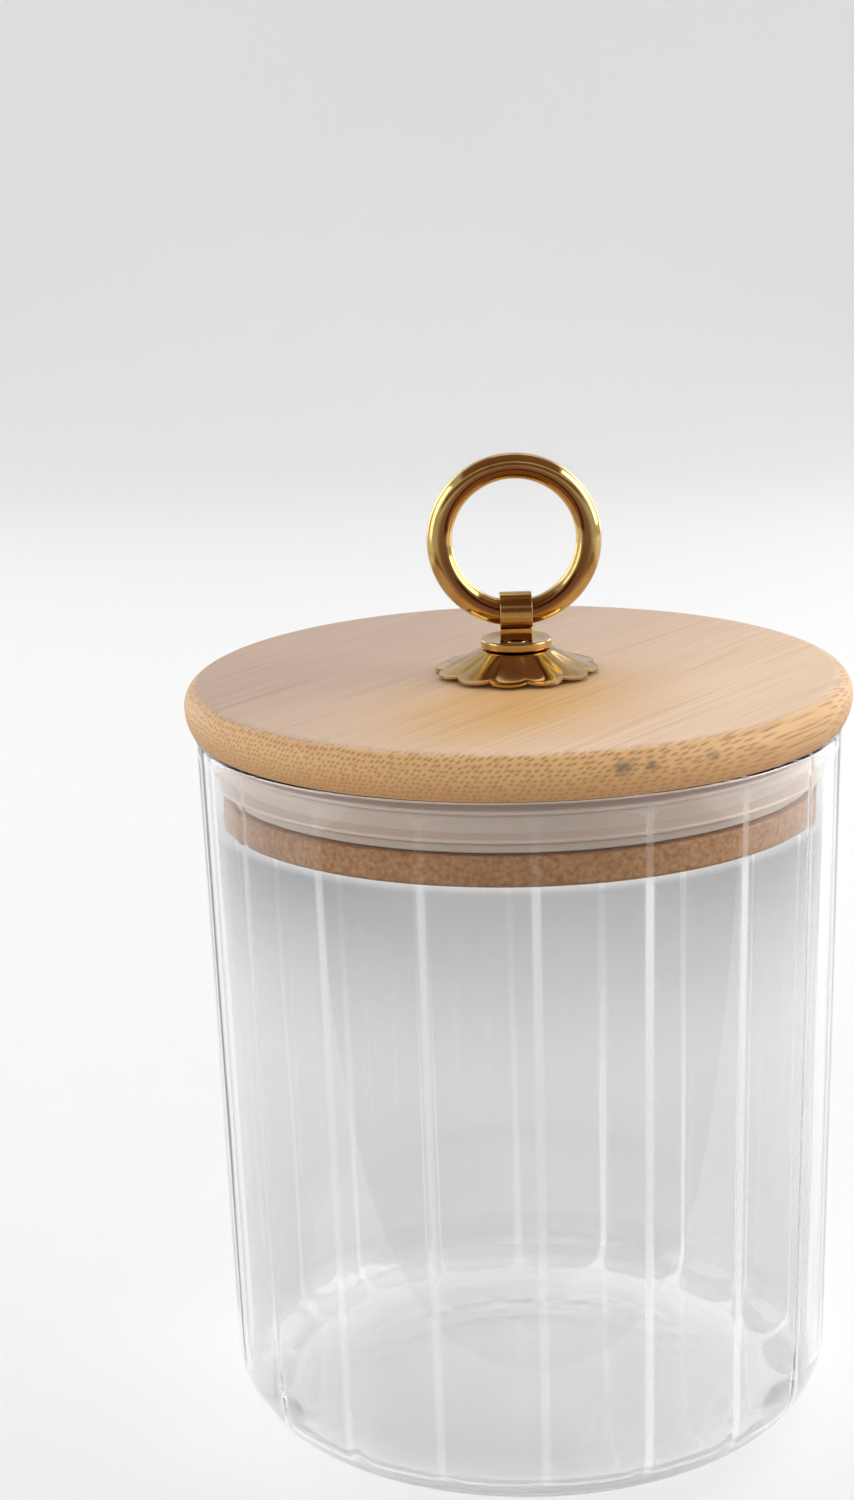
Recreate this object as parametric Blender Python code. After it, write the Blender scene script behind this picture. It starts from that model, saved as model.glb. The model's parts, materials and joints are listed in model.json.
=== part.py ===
"""Fluted glass storage jar with a bamboo lid, a silicone seal and a brass ring pull.

Metres, +Z up. The origin is the middle of the foot, on the surface that the jar stands on.
The front, where one rib of the glass lies, faces -Y.
"""

import math

import bmesh
import bpy
from mathutils import Vector

MM = 0.001
GAP = 0.3 * MM  # between pieces that rest on each other

# Glass jar
JAR_RADIUS = 50.4 * MM  # at the mouth
FOOT_RADIUS = 47.9 * MM  # at the top of the foot's corner
JAR_HEIGHT = 114 * MM
LIP_WALL = 2.7 * MM  # at the lip and at the ribs
PANEL_DEPTH = 1.0 * MM  # how far each panel is set back behind the ribs
BASE_THICKNESS = 4 * MM
FOOT_CORNER = 12 * MM
INSIDE_CORNER = 5 * MM
FOOT_INNER_RADIUS = 31 * MM  # inside this the underside is hollowed
PUNT_RADIUS = 28 * MM
PUNT_DEPTH = 0.8 * MM
RIB_COUNT = 18
RIB_CREST_WIDTH = 0.8 * MM
RIB_FOOT_WIDTH = 2.6 * MM
LIP_HEIGHT = 3 * MM
PANEL_ARCH = 3 * MM  # height of the rounded ends of a panel

# Bamboo lid
LID_RADIUS = 52 * MM
LID_THICKNESS = 7 * MM
LID_TOP_ROUND = 3.1 * MM
LID_SIDE_ROUND = 7.4 * MM  # of the fuller curve below the widest line
GROOVE_RADIUS = 43.7 * MM
GROOVE_HEIGHT = 9.1 * MM
FLANGE_RADIUS = 46.5 * MM
FLANGE_HEIGHT = 4.7 * MM
FLANGE_ROUND = 0.8 * MM
LID_BORE_RADIUS = 2.25 * MM
RECESS_RADIUS = 6.5 * MM
RECESS_DEPTH = 6.5 * MM

# Silicone seal
SEAL_BODY = 1.6 * MM
SEAL_LIP_RADIUS = 47.2 * MM
SEAL_LIP_TIP = 0.7 * MM
SEAL_LIP_ROOT = 1.8 * MM
SEAL_LIP_COUNT = 2

# Brass pull
ROSETTE_RADIUS = 12.8 * MM
ROSETTE_CROWN_RADIUS = 5.6 * MM
ROSETTE_HEIGHT = 3.6 * MM
ROSETTE_SHEET = 0.7 * MM
ROSETTE_FLARE = 1.7  # power of the hollow curve from crown to edge
PETAL_COUNT = 12
PETAL_SCALLOP = 1.2 * MM
PETAL_BULGE = 0.55 * MM
ROSETTE_TURN = math.radians(5.5)  # how far a notch lies round from the front, towards +X
PLATE_HOLE_RADIUS = 2.2 * MM
COLLAR_RADIUS = 5.5 * MM
COLLAR_THICKNESS = 1.3 * MM
COLLAR_ROUND = 0.3 * MM
RING_RADIUS = 11.55 * MM  # to the middle of the bar
RING_BAR_RADIUS = 2.0 * MM
PIVOT_ABOVE_LID = 9.4 * MM
EYE_OUTER_RADIUS = 3.35 * MM
EYE_BORE_RADIUS = 2.48 * MM
EYE_WIDTH = 5.0 * MM
NECK_THICKNESS = 2.6 * MM
STUD_RADIUS = 1.75 * MM
STUD_BELOW_NUT = 0.7 * MM
STUD_IN_NECK = 0.65 * MM

# Nut and washer under the lid
WASHER_RADIUS = 4.5 * MM
WASHER_HOLE_RADIUS = 2.15 * MM
WASHER_THICKNESS = 0.8 * MM
NUT_FLATS = 6
NUT_ACROSS_FLATS = 7.0 * MM
NUT_HEIGHT = 3.2 * MM
NUT_HOLE_RADIUS = 2.05 * MM

# Facets
TURNED_SIDES = 60
SMALL_SIDES = 32
BAR_SIDES = 12
RING_SIDES = 44
EYE_SIDES = 24
PETAL_STEPS = 4
ROSETTE_ROWS = 4
CORNER_STEPS = 4
FOOT_STEPS = 6
SMALL_ROUND_STEPS = 2
NUT_STEPS_PER_FLAT = 4
PANEL_COLUMNS = 3
RIM_STEPS = 6
SHARP_ANGLE = math.radians(35)

# Levels, worked out from the sizes above
RIM_HEIGHT = JAR_HEIGHT - LIP_WALL / 2
LID_UNDERSIDE = JAR_HEIGHT + GAP
LID_TOP = LID_UNDERSIDE + LID_THICKNESS
GROOVE_FLOOR = LID_UNDERSIDE - GROOVE_HEIGHT
FLANGE_UNDERSIDE = GROOVE_FLOOR - FLANGE_HEIGHT
RECESS_CEILING = FLANGE_UNDERSIDE + RECESS_DEPTH
ROSETTE_UNDERSIDE = LID_TOP + GAP
COLLAR_UNDERSIDE = ROSETTE_UNDERSIDE + ROSETTE_HEIGHT + GAP
COLLAR_TOP = COLLAR_UNDERSIDE + COLLAR_THICKNESS
PIVOT_HEIGHT = LID_TOP + PIVOT_ABOVE_LID
WASHER_TOP = RECESS_CEILING - GAP
NUT_TOP = WASHER_TOP - WASHER_THICKNESS - GAP
STUD_END = NUT_TOP - NUT_HEIGHT - STUD_BELOW_NUT


def clear_scene():
    for obj in list(bpy.data.objects):
        bpy.data.objects.remove(obj)


def material(name, colour, roughness, metallic=0.0, transmission=0.0):
    made = bpy.data.materials.new(name)
    made.use_nodes = True
    shader = made.node_tree.nodes["Principled BSDF"]
    shader.inputs["Base Color"].default_value = (*colour, 1.0)
    shader.inputs["Roughness"].default_value = roughness
    shader.inputs["Metallic"].default_value = metallic
    shader.inputs["Transmission Weight"].default_value = transmission
    return made


def add_object(name, bm, made_of, origin=Vector()):
    """An object with this mesh, its origin at a point of the frame and its faces turned outwards."""
    bmesh.ops.translate(bm, verts=bm.verts, vec=-origin)
    bmesh.ops.recalc_face_normals(bm, faces=bm.faces)
    mesh = bpy.data.meshes.new(name)
    bm.to_mesh(mesh)
    bm.free()
    mesh.materials.append(made_of)
    mesh.shade_smooth()
    mesh.set_sharp_from_angle(angle=SHARP_ANGLE)
    obj = bpy.data.objects.new(name, mesh)
    obj.location = origin
    bpy.context.scene.collection.objects.link(obj)
    return obj


def arc(centre_a, centre_b, radius, start, end, steps):
    """Points of a circular arc in a plane, from start to end in degrees."""
    angles = [math.radians(start + (end - start) * i / steps) for i in range(steps + 1)]
    return [(centre_a + radius * math.cos(t), centre_b + radius * math.sin(t)) for t in angles]


def skin(rings, joined=False):
    """A closed mesh over rings of points. Joined rings close on themselves, and others end in flat caps."""
    bm = bmesh.new()
    loops = [[bm.verts.new(point) for point in ring] for ring in rings]
    pairs = list(zip(loops, loops[1:]))
    if joined:
        pairs.append((loops[-1], loops[0]))
    else:
        bm.faces.new(loops[0])
        bm.faces.new(loops[-1])
    for lower, upper in pairs:
        for i in range(len(lower)):
            j = (i + 1) % len(lower)
            bm.faces.new((lower[i], lower[j], upper[j], upper[i]))
    return bm


def turned(outline, sides=TURNED_SIDES, joined=True):
    """A mesh turned about the Z axis from (radius, height) points."""
    angles = [2 * math.pi * i / sides for i in range(sides)]
    return skin([[(r * math.cos(t), r * math.sin(t), z) for t in angles] for r, z in outline], joined)


def across(outline, half):
    """A prism along the X axis, this far each way, from (y, z) points."""
    return skin([[(x, y, z) for y, z in outline] for x in (-half, half)])


def rib_columns():
    """(angle, kind) of each upright line of the jar's mesh: on a rib's crest, at its foot, or on a panel."""
    inner = JAR_RADIUS - LIP_WALL
    crest = RIB_CREST_WIDTH / 2 / inner
    foot = RIB_FOOT_WIDTH / 2 / inner
    pitch = 2 * math.pi / RIB_COUNT
    offsets = [(-foot, "foot"), (-crest, "crest"), (crest, "crest"), (foot, "foot")]
    offsets += [(pitch * (i + 1) / (PANEL_COLUMNS + 1), "panel") for i in range(PANEL_COLUMNS)]
    front = -math.pi / 2
    return [(front + k * pitch + offset, kind) for k in range(RIB_COUNT) for offset, kind in offsets]


def inner_radius(height):
    """Radius of the inside of the glass, which narrows evenly from the mouth to the foot."""
    share = (height - FOOT_CORNER) / (RIM_HEIGHT - FOOT_CORNER)
    return FOOT_RADIUS + (JAR_RADIUS - FOOT_RADIUS) * share - LIP_WALL


def jar_rows():
    """(radius, height, set back at a rib's foot, set back on a panel), round the wall from punt to floor."""
    rim_round = LIP_WALL / 2
    outside = [(PUNT_RADIUS, PUNT_DEPTH), (FOOT_INNER_RADIUS, 0.0)]
    outside += arc(FOOT_RADIUS - FOOT_CORNER, FOOT_CORNER, FOOT_CORNER, -90, 0, FOOT_STEPS)
    outside += arc(JAR_RADIUS - rim_round, RIM_HEIGHT, rim_round, 0, 180, RIM_STEPS)
    rows = [(r, z, 0.0, 0.0) for r, z in outside]
    panel_top = JAR_HEIGHT - LIP_HEIGHT
    panel_bottom = BASE_THICKNESS + INSIDE_CORNER
    half = PANEL_DEPTH / 2
    panel = [
        (panel_top, 0.0, 0.0),
        (panel_top - PANEL_ARCH / 3, 0.0, half),
        (panel_top - PANEL_ARCH, PANEL_DEPTH, PANEL_DEPTH),
        (panel_bottom + PANEL_ARCH, PANEL_DEPTH, PANEL_DEPTH),
        (panel_bottom + PANEL_ARCH / 3, 0.0, half),
    ]
    rows += [(inner_radius(z), z, at_foot, on_panel) for z, at_foot, on_panel in panel]
    corner = inner_radius(panel_bottom) - INSIDE_CORNER
    floor = arc(corner, panel_bottom, INSIDE_CORNER, 0, -90, CORNER_STEPS)
    return rows + [(r, z, 0.0, 0.0) for r, z in floor]


def glass_jar(glass):
    rings = []
    for radius, height, at_foot, on_panel in jar_rows():
        set_back = {"crest": 0.0, "foot": at_foot, "panel": on_panel}
        ring = []
        for angle, kind in rib_columns():
            r = radius + set_back[kind]
            ring.append((r * math.cos(angle), r * math.sin(angle), height))
        rings.append(ring)
    return add_object("glass_jar", skin(rings), glass)


def bamboo_lid(bamboo):
    """A disc with a rounded edge that tucks in to meet the glass, and a grooved plug below it."""
    widest = LID_TOP - LID_TOP_ROUND
    tuck = math.degrees(math.asin((widest - LID_UNDERSIDE) / LID_SIDE_ROUND))
    outline = [(LID_BORE_RADIUS, LID_TOP)]
    outline += arc(LID_RADIUS - LID_TOP_ROUND, widest, LID_TOP_ROUND, 90, 0, CORNER_STEPS)
    outline += arc(LID_RADIUS - LID_SIDE_ROUND, widest, LID_SIDE_ROUND, 0, -tuck, CORNER_STEPS)[1:]
    outline += [(GROOVE_RADIUS, LID_UNDERSIDE), (GROOVE_RADIUS, GROOVE_FLOOR), (FLANGE_RADIUS, GROOVE_FLOOR)]
    flange_edge = FLANGE_RADIUS - FLANGE_ROUND
    flange_low = FLANGE_UNDERSIDE + FLANGE_ROUND
    outline += arc(flange_edge, flange_low, FLANGE_ROUND, 0, -90, SMALL_ROUND_STEPS)
    outline += [
        (RECESS_RADIUS, FLANGE_UNDERSIDE),
        (RECESS_RADIUS, RECESS_CEILING),
        (LID_BORE_RADIUS, RECESS_CEILING),
    ]
    return add_object("bamboo_lid", turned(outline), bamboo)


def seal_ring(silicone):
    """A band in the lid's groove with soft lips that wipe the inside of the glass."""
    inner = GROOVE_RADIUS + GAP
    body = inner + SEAL_BODY
    bottom = GROOVE_FLOOR + GAP
    top = LID_UNDERSIDE - GAP
    spacing = (top - bottom) / SEAL_LIP_COUNT
    outline = [(inner, top), (inner, bottom), (body, bottom)]
    for i in range(SEAL_LIP_COUNT):
        middle = bottom + (i + 0.5) * spacing
        outline += [
            (body, middle - SEAL_LIP_ROOT / 2),
            (SEAL_LIP_RADIUS, middle - SEAL_LIP_TIP / 2),
            (SEAL_LIP_RADIUS, middle + SEAL_LIP_TIP / 2),
            (body, middle + SEAL_LIP_ROOT / 2),
        ]
    outline.append((body, top))
    return add_object("seal_ring", turned(outline), silicone)


def rosette_plate(brass):
    """A pressed sheet flower: a flat crown, then hollow-flared petals with scalloped tips."""
    steps = PETAL_COUNT * PETAL_STEPS
    flat_height = ROSETTE_UNDERSIDE + ROSETTE_HEIGHT
    rows = [(PLATE_HOLE_RADIUS, flat_height, 0.0)]
    rise = ROSETTE_HEIGHT - ROSETTE_SHEET
    for i in range(ROSETTE_ROWS + 1):
        share = i / ROSETTE_ROWS
        radius = ROSETTE_CROWN_RADIUS + (ROSETTE_RADIUS - ROSETTE_CROWN_RADIUS) * share
        rows.append((radius, flat_height - rise + rise * (1 - share) ** ROSETTE_FLARE, share))

    def ring(radius, height, share):
        points = []
        for k in range(steps):
            across = 2 * (k % PETAL_STEPS) / PETAL_STEPS - 1  # -1 at a notch, 0 mid petal
            angle = 2 * math.pi * k / steps + ROSETTE_TURN
            r = radius - PETAL_SCALLOP * share * across**2
            z = height + PETAL_BULGE * math.sin(math.pi * share) * (1 - across**2)
            points.append((r * math.cos(angle), r * math.sin(angle), z))
        return points

    upper = [ring(r, z, share) for r, z, share in rows]
    lower = [ring(r, z - ROSETTE_SHEET, share) for r, z, share in reversed(rows)]
    return add_object("rosette_plate", skin(upper + lower, joined=True), brass)


def collar_washer(brass):
    edge = COLLAR_RADIUS - COLLAR_ROUND
    outline = [(PLATE_HOLE_RADIUS, COLLAR_TOP)]
    outline += arc(edge, COLLAR_TOP - COLLAR_ROUND, COLLAR_ROUND, 90, 0, SMALL_ROUND_STEPS)
    outline += arc(edge, COLLAR_UNDERSIDE + COLLAR_ROUND, COLLAR_ROUND, 0, -90, SMALL_ROUND_STEPS)
    outline.append((PLATE_HOLE_RADIUS, COLLAR_UNDERSIDE))
    return add_object("collar_washer", turned(outline, SMALL_SIDES), brass)


def eye_outline():
    """The eye and its neck from the side, as (y, z) round the outside, from the neck's front foot."""
    half = NECK_THICKNESS / 2
    neck_foot = COLLAR_TOP + GAP
    meets = math.degrees(math.asin(half / EYE_OUTER_RADIUS))
    round_eye = arc(0.0, PIVOT_HEIGHT, EYE_OUTER_RADIUS, -90 - meets, -450 + meets, EYE_SIDES)
    return [(-half, neck_foot)] + round_eye + [(half, neck_foot)]


def eye_post(brass):
    """A strap eye that holds the ring's bar, on a stud that goes down through the lid."""
    half = EYE_WIDTH / 2
    outline = eye_outline()
    origin = Vector((0.0, 0.0, PIVOT_HEIGHT))
    eye = add_object("eye_post", across(outline, half), brass, origin)
    hole = arc(0.0, PIVOT_HEIGHT, EYE_BORE_RADIUS, 0, 360 - 360 / EYE_SIDES, EYE_SIDES - 1)
    bore = add_object("eye_bore", across(hole, EYE_WIDTH), brass, origin)
    stud_top = COLLAR_TOP + GAP + STUD_IN_NECK
    shaft = [(STUD_RADIUS, STUD_END), (STUD_RADIUS, stud_top)]
    stud = add_object("eye_stud", turned(shaft, SMALL_SIDES, joined=False), brass, origin)
    for operation, other in (("DIFFERENCE", bore), ("UNION", stud)):
        cut = eye.modifiers.new(other.name, "BOOLEAN")
        cut.operation = operation
        cut.object = other
        other.hide_render = True
        other.display_type = "WIRE"
    return eye


def pull_ring(brass):
    """The ring stands up in its eye. Its origin is on the hinge axis, where the bar goes through the eye."""
    pivot = Vector((0.0, 0.0, PIVOT_HEIGHT))
    centre = pivot + Vector((0.0, 0.0, RING_RADIUS))
    rings = []
    for i in range(RING_SIDES):
        turn = 2 * math.pi * i / RING_SIDES - math.pi / 2
        out = Vector((math.cos(turn), 0.0, math.sin(turn)))
        section = arc(0.0, 0.0, RING_BAR_RADIUS, 0, 360 - 360 / BAR_SIDES, BAR_SIDES - 1)
        rings.append([centre + out * (RING_RADIUS + a) + Vector((0.0, b, 0.0)) for a, b in section])
    return add_object("pull_ring", skin(rings, joined=True), brass, pivot)


def stud_washer(steel):
    bottom = WASHER_TOP - WASHER_THICKNESS
    outline = [
        (WASHER_HOLE_RADIUS, WASHER_TOP),
        (WASHER_RADIUS, WASHER_TOP),
        (WASHER_RADIUS, bottom),
        (WASHER_HOLE_RADIUS, bottom),
    ]
    return add_object("stud_washer", turned(outline, SMALL_SIDES), steel)


def stud_nut(steel):
    """A hexagon nut: each of its flats takes a few of the points round the hole."""
    points = NUT_FLATS * NUT_STEPS_PER_FLAT
    flat = NUT_ACROSS_FLATS / 2
    half_turn = math.pi / NUT_FLATS

    def ring(height, hexagonal):
        made = []
        for k in range(points):
            angle = 2 * math.pi * k / points
            from_flat = (angle + half_turn) % (2 * half_turn) - half_turn
            r = flat / math.cos(from_flat) if hexagonal else NUT_HOLE_RADIUS
            made.append((r * math.cos(angle), r * math.sin(angle), height))
        return made

    bottom = NUT_TOP - NUT_HEIGHT
    rings = [ring(NUT_TOP, False), ring(NUT_TOP, True), ring(bottom, True), ring(bottom, False)]
    return add_object("stud_nut", skin(rings, joined=True), steel)


def keep_place(child, parent):
    child.parent = parent
    child.matrix_parent_inverse = parent.matrix_world.inverted()


def main():
    clear_scene()
    glass = material("glass", (0.95, 0.97, 0.97), 0.02, transmission=1.0)
    bamboo = material("bamboo", (0.62, 0.40, 0.20), 0.45)
    silicone = material("silicone", (0.72, 0.68, 0.64), 0.35)
    brass = material("brass", (0.55, 0.33, 0.09), 0.22, metallic=1.0)
    steel = material("steel", (0.60, 0.60, 0.61), 0.30, metallic=1.0)

    glass_jar(glass)
    lid = bamboo_lid(bamboo)
    fittings = [
        seal_ring(silicone),
        rosette_plate(brass),
        collar_washer(brass),
        eye_post(brass),
        stud_washer(steel),
        stud_nut(steel),
        pull_ring(brass),
    ]
    bpy.context.view_layer.update()
    for piece in fittings:
        keep_place(piece, lid)


main()
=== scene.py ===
"""Looks of the fluted glass jar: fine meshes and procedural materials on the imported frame. Metres, +Z up."""

import json
import math

import bmesh
import bpy
from mathutils import Matrix, Vector


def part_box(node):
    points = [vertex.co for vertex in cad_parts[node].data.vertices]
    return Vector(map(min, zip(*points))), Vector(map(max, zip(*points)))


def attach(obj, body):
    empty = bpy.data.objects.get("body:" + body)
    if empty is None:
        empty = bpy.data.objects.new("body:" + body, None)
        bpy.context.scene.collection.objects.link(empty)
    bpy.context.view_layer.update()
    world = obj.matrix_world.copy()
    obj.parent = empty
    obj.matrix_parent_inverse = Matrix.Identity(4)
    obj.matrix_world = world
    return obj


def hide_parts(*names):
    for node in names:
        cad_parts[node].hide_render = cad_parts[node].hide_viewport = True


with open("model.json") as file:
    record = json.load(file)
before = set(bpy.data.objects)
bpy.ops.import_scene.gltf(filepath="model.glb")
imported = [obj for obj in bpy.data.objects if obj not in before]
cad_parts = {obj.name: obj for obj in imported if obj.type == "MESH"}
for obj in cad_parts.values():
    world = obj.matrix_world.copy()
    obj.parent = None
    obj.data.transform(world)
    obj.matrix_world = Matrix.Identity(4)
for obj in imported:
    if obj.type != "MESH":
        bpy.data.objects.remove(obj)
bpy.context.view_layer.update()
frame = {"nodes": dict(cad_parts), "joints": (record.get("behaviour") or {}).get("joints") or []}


def rgb(red, green, blue):
    """A linear colour as the shaders take it."""
    return (red, green, blue, 1.0)


def grey(value):
    return rgb(value, value, value)


MM = 0.001

# Levels and radii read from the frame
_, JAR_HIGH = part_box("glass_jar")
LID_LOW, LID_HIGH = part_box("bamboo_lid")
SEAL_LOW, SEAL_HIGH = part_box("seal_ring")
ROSETTE_LOW, ROSETTE_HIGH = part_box("rosette_plate")
COLLAR_LOW, COLLAR_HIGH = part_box("collar_washer")
EYE_LOW, EYE_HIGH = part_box("eye_post")
_, RING_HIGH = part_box("pull_ring")
PIVOT = Vector(next(j["pos_m"] for j in frame["joints"] if j["name"] == "ring_swing"))

# Camera, matched to the photograph's frame
FRAME_LONG_SIDE = 1500
FOCAL_PIXELS = 3150
SENSOR_WIDTH = 36.0
NEAR_CLIP = 0.01
CAMERA_PLACE = Vector((-12.380, -478.852, 233.621)) * MM
CAMERA_PITCH = math.radians(14.580)
CAMERA_ROLL = math.radians(-1.622)
CAMERA_YAW = math.radians(-0.238)
CAMERA_ORBIT = math.radians(-1.0)  # round the jar's axis from the front

# Glass
JAR_RADIUS = JAR_HIGH.x
JAR_HEIGHT = JAR_HIGH.z
FOOT_RADIUS = 47.9 * MM
LIP_WALL = 2.7 * MM
RIM_HEIGHT = JAR_HEIGHT - LIP_WALL / 2
BASE_THICKNESS = 4 * MM
FOOT_CORNER = 12 * MM
INSIDE_CORNER = 5 * MM
FOOT_INNER_RADIUS = 31 * MM
PUNT_RADIUS = 28 * MM
PUNT_DEPTH = 0.4 * MM
CAP_RADIUS = 2 * MM  # of the flat caps at the middle of the base
RIM_ROUND = 0.6 * MM
RIB_COUNT = 18
RIB_HALF = 0.45 * MM  # half of the width that catches the light
RIB_SOFTNESS = 0.4 * MM
RIB_FILLET = 1.3 * MM
PANEL_DEPTH = 0.04 * MM
PANEL_FOOT_DEPTH = 0.25 * MM
PANEL_FOOT_FILLET = 3 * MM
PANEL_TOP_BELOW_RIM = 2.4 * MM
PANEL_TOP_CORNER = 2.2 * MM
PANEL_FOOT_CORNER = 4.5 * MM
PANEL_ONTO_FLOOR = 1.5 * MM

# Look of the glass
GLASS_IOR = 1.5
GLASS_CLEAR = grey(1.0)
GLASS_PANEL = grey(0.74)
GLASS_LOW = grey(0.62)  # panels near the floor
GLASS_SHADED = grey(0.2)  # painted shade on the panels close under the lid
GLASS_FOOT = grey(0.92)
GLASS_FOOT_HAZE = 0.36
FOOT_HAZE_LEVEL = FOOT_CORNER * 0.3  # the haze is full below this and ends at the top of the corner
FOOT_TINT_LEVEL = FOOT_CORNER * 0.2  # the foot's tint is full below this
FOOT_TINT_END = FOOT_CORNER * 0.6
FOOT_CLEARING = 0.25  # share by which the panels' grey is less at the floor
LOW_WALL_LEVEL = JAR_HEIGHT * 0.15  # the low panels' grey is full below this
LOW_WALL_END = JAR_HEIGHT * 0.45
RIB_HAZE = 0.1
RIB_ROUGHNESS = 0.3
RIB_FAINT = 0.45  # brightness of the ribs that don't face the light on the right
RIB_LIT_FROM = 0.1  # share of the radius towards +X where the ribs start to brighten
RIB_LIT_FADE = 0.25
LID_SHADE_REACH = 31 * MM
LID_SHADE_SAMPLES = 4
LID_SHADE_EDGE = 1 * MM  # each way over which the shade stops at the lid's underside
LID_SHADE_START = JAR_HEIGHT * 0.4  # no shade below this, and all of it above the next
LID_SHADE_FULL = JAR_HEIGHT * 0.6
OPEN_UNDER_LID = 0.5  # share of the room that a point of the wall right under the lid still sees
DRAG_STRETCH = (90.0, 90.0, 6.0)  # waves to a metre of the upright drag marks
DRAG_STRENGTH = 0.25
DRAG_DEPTH = 0.4 * MM

# Lid
LID_RADIUS = LID_HIGH.x
LID_UNDERSIDE = JAR_HEIGHT + 0.3 * MM
LID_TOP = LID_HIGH.z
LID_TOP_ROUND = 3.1 * MM
LID_SIDE_ROUND = 7.4 * MM  # the fuller curve below the widest line
GROOVE_RADIUS = 43.7 * MM
GROOVE_HEIGHT = 9.1 * MM
FLANGE_RADIUS = 46.5 * MM
FLANGE_ROUND = 0.8 * MM
LID_BORE_RADIUS = 2.25 * MM
RECESS_RADIUS = 6.5 * MM
RECESS_DEPTH = 6.5 * MM
LID_CHAMFER = 0.3 * MM

# Look of the bamboo, with stretches in waves to a metre along the grain and across it
# partly real strips of bamboo, partly painted light: the left greyer in painted shade, the right lighter as if
# lit from the right
BAMBOO_LEFT_STRIPS_SHADED = rgb(0.46, 0.33, 0.25)
BAMBOO_RIGHT_STRIPS_LIT = rgb(0.68, 0.49, 0.34)
BAMBOO_GOLDEN = rgb(0.60, 0.345, 0.125)
BAMBOO_DARK = rgb(0.26, 0.12, 0.045)
# painted shade: the brown towards which the lid's lower edge and the flange are darkened
BAMBOO_SHADED = rgb(0.28, 0.095, 0.014)
BAMBOO_SMOOTHEST = 0.42
BAMBOO_ROUGHEST = 0.6
GRAIN_TURN = math.radians(53)  # of the bamboo's fibres from +X
WANDER_STRETCH = (14.0, 110.0, 110.0)
WANDER_ROWS = 2.0  # rows by which the lines of fibres wander
FINE_STRETCH = (26.0, 2600.0, 2600.0)
FINE_DETAIL = 3.0
FINE_ROUGHNESS = 0.6
FINE_FROM, FINE_TO = 0.45, 0.75
FINE_SHARE = 0.14
FINE_RELIEF = 0.4
STREAK_STRETCH = (22.0, 700.0, 700.0)
STREAK_FROM, STREAK_TO = 0.50, 0.75
STREAK_SHARE = 0.20
BROAD_STRETCH = (7.0, 45.0, 45.0)
BROAD_DETAIL = 1.0
STRIP_DRIFT = 12 * MM
STRIP_AND_LIGHT_REACH = 30 * MM  # how far each way the top goes between its left and right colours: partly real strips of bamboo, partly painted light, brighter to the right
REFLECTION_PATCH_ALONG = -17.7 * MM  # middle of the golden patch, a painted reflection of something dark above the lid, along the grain and across it
REFLECTION_PATCH_ACROSS = -12 * MM
REFLECTION_PATCH_LENGTH = 40 * MM
REFLECTION_PATCH_WIDTH = 28 * MM
REFLECTION_PATCH_CORE = 0.1  # share of the reach of the painted reflection that is wholly golden
EDGE_GOLDEN = 0.9  # share of golden on the lid's edge
EDGE_GOLDEN_DEPTH = 0.6 * MM  # below the top: the edge has all of that share here, and none at the next
EDGE_GOLDEN_END = 0.1 * MM
FIBRE_SPACING = 0.9 * MM
FIBRE_ROW = 0.72 * MM
FIBRE_STAGGER = 0.5  # spacings by which each row is shifted from the last
FIBRE_RANDOMNESS = 0.45
DOT_EDGE, DOT_CORE = 0.42, 0.14  # distances from a dot's middle, in spacings
DOT_SHARE_LOW, DOT_SHARE_HIGH = 0.4, 0.68  # strength at the disc's underside and at its top
DOT_SHARE_TOP = 0.13  # what is left of that strength on the flat top
DOT_TOP_DEPTH = 0.5 * MM
DOT_TOP_END = 0.05 * MM
LOW_EDGE_SHADE = 0.5  # painted shade, full at the disc's underside, down to none at the next height above it
LOW_EDGE_HEIGHT = 4 * MM
MOTTLE_SCALE = 1300.0
MOTTLE_FROM, MOTTLE_TO = 0.3, 0.7
MOTTLE_SHARE = 0.6
FLANGE_LOOK_EDGE = 0.5 * MM
SMUDGES = ((13.8, 2.8 * MM), (18.8, 1.8 * MM), (29.9, 1.9 * MM))  # degrees round from the front, half width
SMUDGE_BELOW_TOP = 2.7 * MM
SMUDGE_FLATNESS = 1.6
SMUDGE_SCALE = 500.0
SMUDGE_DETAIL = 3.0
SMUDGE_ROUGHNESS = 0.6
SMUDGE_FROM, SMUDGE_TO = 0.25, 0.65
SMUDGE_SHARE = 0.8
SMUDGE_COLOUR = rgb(0.10, 0.08, 0.06)
RELIEF_STRENGTH = 0.3
RELIEF_DEPTH = 0.06 * MM

# Seal
SEAL_CLEARANCE = 0.3 * MM
SEAL_BODY = 1.6 * MM
SEAL_LIP_ROOT = 1.8 * MM
SEAL_LIP_TIP = 0.7 * MM
SEAL_LIPS = 2
SEAL_ROUND = 0.3 * MM
SILICONE_DEEP = rgb(0.58, 0.47, 0.39)
SILICONE_PALE = rgb(0.70, 0.59, 0.51)
SILICONE_STRETCH = (40.0, 40.0, 120.0)
SILICONE_ROUGHNESS = 0.35
SILICONE_SCATTER = 0.4
SILICONE_SCATTER_DEPTH = 2 * MM

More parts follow.
